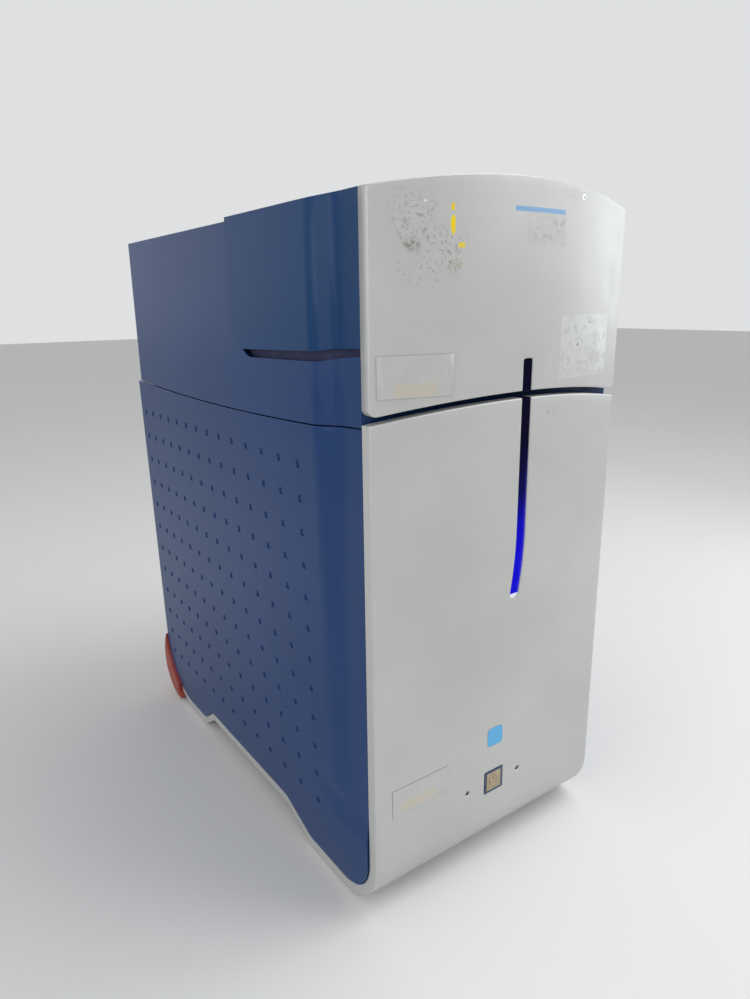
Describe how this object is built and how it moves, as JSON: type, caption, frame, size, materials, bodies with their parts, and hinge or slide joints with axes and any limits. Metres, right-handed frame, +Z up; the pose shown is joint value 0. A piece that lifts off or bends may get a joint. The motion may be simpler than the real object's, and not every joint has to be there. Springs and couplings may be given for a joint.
{
  "type": "microarray scanner",
  "caption": "Upright bench cabinet with a bowed silver front, lit slit, dimpled blue sides and a hood that hinges up over a cartridge loading deck with laser scanning optics inside.",
  "frame": {"origin": "centre of the bounding box in plan, at the level of the bench under the rubber feet", "axes": "+X to the right of someone facing the silver front, +Y from the front to the rear, +Z up"},
  "size_m": [0.326, 0.568, 0.6595],
  "materials": {
    "silver_paint": "satin silver paint",
    "blue_plastic": "fine textured deep blue",
    "navy_plastic": "matt navy",
    "red_plastic": "satin red",
    "black_rubber": "matt",
    "zinc_steel": "zinc plated sheet",
    "bright_steel": "ground steel",
    "anodised_black": "black anodised",
    "bare_aluminium": "machined",
    "black_plastic": "moulded black",
    "steel_wire": "bright wire",
    "carriage_grey": "moulded dark grey",
    "supply_case": "folded sheet case",
    "green_board": "solder mask",
    "dark_parts": "moulded packages",
    "brass_spacer": "turned",
    "lens_glass": "coated optical glass",
    "blue_light": "lit blue light guide",
    "button_metal": "warm satin metal",
    "bezel_blue": "translucent blue grey",
    "window_clear": "clear window",
    "label_film": "blank silver label film",
    "badge_blue": "light blue"
  },
  "bodies": {
    "cabinet": {"lower_front_panel": "silver_paint", "base_tray": "silver_paint", "left_side_cover": "blue_plastic", "right_side_cover": "blue_plastic", "upper_cover": "blue_plastic", "loading_deck": "navy_plastic", "rear_bumper": "red_plastic", "rubber_feet": "black_rubber", "vibration_isolators": "black_rubber", "base_plate": "zinc_steel", "left_frame": "zinc_steel", "right_frame": "zinc_steel", "hinge_posts": "zinc_steel", "hinge_beam": "zinc_steel", "hinge_brackets": "zinc_steel", "shelf_brackets": "zinc_steel", "rear_panel": "zinc_steel", "hinge_pins": "bright_steel", "guide_rods": "bright_steel", "panel_screws": "bright_steel", "optics_plate": "anodised_black", "dichroic_housing": "anodised_black", "pinhole_block": "anodised_black", "detector_housing": "anodised_black", "laser_heatsink": "anodised_black", "laser_module": "bare_aluminium", "beam_tube": "bare_aluminium", "scan_motor": "bare_aluminium", "rail_towers": "bare_aluminium", "stepper_motor": "black_plastic", "filter_motor": "black_plastic", "fan_frame": "black_plastic", "inlet_socket": "black_plastic", "data_connectors": "black_plastic", "switch_body": "black_plastic", "fan_guard": "steel_wire", "power_supply": "supply_case", "main_board": "green_board", "led_board": "green_board", "board_components": "dark_parts", "board_standoffs": "brass_spacer", "light_guide": "blue_light", "button_bezel": "bezel_blue", "indicator_windows": "window_clear", "lower_label": "label_film", "badge": "badge_blue"},
    "hood": {"hood_shell": "blue_plastic", "upper_front_panel": "silver_paint", "hinge_arms": "zinc_steel", "upper_label": "label_film", "hood_light_guide": "blue_light"},
    "button": {"power_button": "button_metal"},
    "carriage": {"cartridge_carriage": "carriage_grey"},
    "screw": {"lead_screw": "bright_steel"},
    "scan_arm": {"objective_arm": "bare_aluminium", "objective_lens": "lens_glass"},
    "filter_disc": {"filter_wheel": "bare_aluminium", "emission_filters": "lens_glass"},
    "fan": {"fan_rotor": "black_plastic"}
  },
  "joints": [
    {"name": "hood_hinge", "type": "hinge", "parent": "cabinet", "child": "hood", "pos_m": [0, -0.03855, 0.65], "axis": [-1, 0, 0], "range_deg": [0, 60]},
    {"name": "button_press", "type": "slide", "parent": "cabinet", "child": "button", "axis": [0, 1, 0], "range_m": [0, 0.002], "stiffness_N_per_m": 600},
    {"name": "carriage_slide", "type": "slide", "parent": "cabinet", "child": "carriage", "axis": [0, 1, 0], "range_m": [-0.03, 0.12]},
    {"name": "screw_spin", "type": "hinge", "parent": "cabinet", "child": "screw", "pos_m": [0, -0.21055, 0.425], "axis": [0, 1, 0], "continuous": true},
    {"name": "arm_swing", "type": "hinge", "parent": "cabinet", "child": "scan_arm", "pos_m": [0, -0.03055, 0.35], "axis": [0, 0, 1], "range_deg": [-15, 15]},
    {"name": "filter_spin", "type": "hinge", "parent": "cabinet", "child": "filter_disc", "pos_m": [-0.083, -0.06455, 0.337], "axis": [0, 1, 0], "continuous": true},
    {"name": "fan_spin", "type": "hinge", "parent": "cabinet", "child": "fan", "pos_m": [0.07, 0.22945, 0.38], "axis": [0, 1, 0], "continuous": true}
  ],
  "couplings": [
    {"joint": "screw_spin", "follows": "carriage_slide", "rad_per_m": 628.32}
  ]
}
